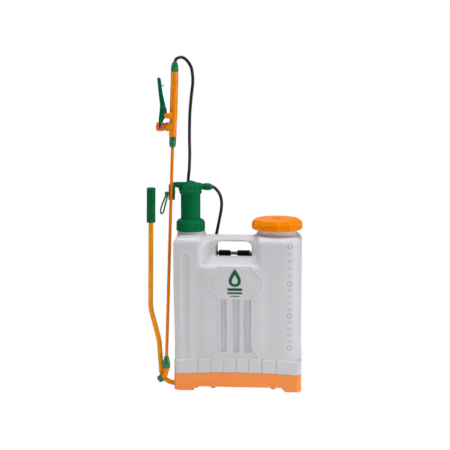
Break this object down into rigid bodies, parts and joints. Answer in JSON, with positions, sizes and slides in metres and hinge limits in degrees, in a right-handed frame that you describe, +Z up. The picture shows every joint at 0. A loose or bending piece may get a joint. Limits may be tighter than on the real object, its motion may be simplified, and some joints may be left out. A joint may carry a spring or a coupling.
{
  "type": "backpack sprayer",
  "caption": "Lever-operated backpack sprayer with a moulded tank, piston pump with air chamber, trigger gun and lance, hose, screw filler cap and padded shoulder straps.",
  "frame": {"origin": "middle of the base's footprint, on the ground plane, on the face of the rest under the middle of the tray", "axes": "+Z up, +Y towards the wearer's back (the strap side), +X to the right seen from the outer face, so the pump and lever are at -X and the filler cap at +X"},
  "size_m": [0.4456, 0.2442, 0.9565],
  "materials": {
    "tank_white": "satin",
    "base_orange": "satin",
    "cap_orange": "gloss",
    "green_plastic": "satin",
    "green_light": "satin",
    "steel": "brushed",
    "dark_plastic": "matte",
    "white_plastic": "satin",
    "grey_plastic": "satin",
    "rubber": "matte",
    "hose_rubber": "satin",
    "lever_paint": "gloss",
    "gun_orange": "gloss",
    "lance_orange": "satin",
    "valve_red": "gloss",
    "webbing": "woven",
    "pad_fabric": "woven"
  },
  "bodies": {
    "tank": {"tank_shell": "tank_white", "base_tray": "base_orange", "base_screws": "steel", "shaft_bushes": "dark_plastic", "filler_strainer": "white_plastic", "strap_anchor_bar": "grey_plastic", "pump_barrel": "white_plastic", "pump_gasket": "rubber", "pump_column": "green_plastic", "pump_head": "green_plastic", "pump_union_nut": "green_plastic", "rod_seal": "rubber", "gland_nut": "grey_plastic", "inlet_strainer": "steel", "ball_stop_pin": "steel", "outlet_nut": "green_plastic", "hose": "hose_rubber", "lance_holder": "green_plastic", "strap_left": "webbing", "strap_right": "webbing", "pad_left": "pad_fabric", "pad_right": "pad_fabric"},
    "cap_ring": {"cap_gasket": "rubber"},
    "cap": {"filler_cap": "cap_orange", "cap_vent_valve": "cap_orange"},
    "ball": {"delivery_ball": "steel"},
    "lever": {"lever_tube": "lever_paint", "lever_grip": "green_plastic", "crank_arm": "steel", "crank_lock_pin": "steel", "shaft_washer": "steel", "shaft_split_pin": "steel"},
    "roller": {"crank_roller": "white_plastic"},
    "pump_rod": {"crosshead": "steel", "piston_rod": "steel", "piston": "white_plastic", "piston_seal": "rubber", "piston_nut": "steel"},
    "valve_disc": {"piston_valve_disc": "rubber"},
    "gun": {"gun_body": "gun_orange", "gun_filter": "white_plastic", "gun_hose_nut": "green_light", "lance_nut_upper": "green_light", "lance_tube": "lance_orange", "lance_nut_lower": "green_light", "nozzle_elbow": "gun_orange", "nozzle_insert": "white_plastic", "nozzle_oring": "rubber", "trigger_pivot_pin": "steel", "valve_cap": "valve_red", "valve_spring": "steel"},
    "nozzle": {"nozzle_cap": "green_light"},
    "trigger": {"trigger_lever": "green_plastic"},
    "lock": {"trigger_lock": "green_plastic"},
    "valve": {"valve_stem": "steel"},
    "clip": {"clip_strap": "green_plastic"},
    "hook_left": {"strap_hook_left": "dark_plastic"},
    "hook_right": {"strap_hook_right": "dark_plastic"}
  },
  "joints": [
    {"name": "lever_swing", "type": "hinge", "parent": "tank", "child": "lever", "pos_m": [0, -0.058, 0.013], "axis": [-1, 0, 0], "range_deg": [0, 42]},
    {"name": "roller_spin", "type": "hinge", "parent": "lever", "child": "roller", "pos_m": [-0.137, -0.0151, 0.049], "axis": [1, 0, 0], "continuous": true},
    {"name": "piston_stroke", "type": "slide", "parent": "tank", "child": "pump_rod", "axis": [0, 0, 1], "range_m": [-0.0385, 0.0005]},
    {"name": "piston_valve_lift", "type": "slide", "parent": "pump_rod", "child": "valve_disc", "axis": [0, 0, 1], "range_m": [0, 0.002]},
    {"name": "delivery_valve_lift", "type": "slide", "parent": "tank", "child": "ball", "axis": [0, 0, 1], "range_m": [0, 0.008]},
    {"name": "cap_lift", "type": "slide", "parent": "tank", "child": "cap_ring", "axis": [0, 0, 1], "range_m": [0, 0.0125]},
    {"name": "cap_turn", "type": "hinge", "parent": "cap_ring", "child": "cap", "pos_m": [0.113, 0, 0.47], "axis": [0, 0, 1], "range_deg": [0, 720]},
    {"name": "lance_unclip", "type": "slide", "parent": "tank", "child": "gun", "axis": [0.0024, -0.9949, 0.101], "range_m": [0, 0.08], "deforming": ["hose"]},
    {"name": "trigger_pull", "type": "hinge", "parent": "gun", "child": "trigger", "pos_m": [-0.20395, -0.00453, 0.7855], "axis": [-0.0024, 0.9949, -0.101], "range_deg": [0, 12], "stiffness_Nm_per_rad": 0.5},
    {"name": "valve_travel", "type": "slide", "parent": "gun", "child": "valve", "axis": [-0.9997, 0, 0.0236], "range_m": [0, 0.0063], "deforming": ["valve_spring"]},
    {"name": "trigger_lock_flip", "type": "hinge", "parent": "trigger", "child": "lock", "pos_m": [-0.22251, 0.00426, 0.87252], "axis": [-0.0024, 0.9949, -0.101], "range_deg": [0, 40]},
    {"name": "nozzle_adjust", "type": "hinge", "parent": "gun", "child": "nozzle", "pos_m": [-0.21206, -0.08054, 0.03716], "axis": [-0.7809, -0.065, -0.6213], "range_deg": [0, 360]},
    {"name": "clip_strap_swing", "type": "hinge", "parent": "tank", "child": "clip", "pos_m": [-0.20276, -0.02498, 0.56435], "axis": [-0.9997, 0, 0.0236], "range_deg": [0, 80]},
    {"name": "hook_swing_left", "type": "hinge", "parent": "tank", "child": "hook_left", "pos_m": [-0.124, 0.097, 0.03], "axis": [-1, 0, 0], "range_deg": [-12, 30]},
    {"name": "hook_swing_right", "type": "hinge", "parent": "tank", "child": "hook_right", "pos_m": [0.0955, 0.097, 0.03], "axis": [-1, 0, 0], "range_deg": [-12, 30]}
  ],
  "couplings": [
    {"joint": "piston_stroke", "follows": "lever_swing", "m_per_rad": -0.051771},
    {"joint": "cap_lift", "follows": "cap_turn", "m_per_rad": 0.00095493},
    {"joint": "valve_travel", "follows": "trigger_pull", "m_per_rad": 0.0292}
  ]
}
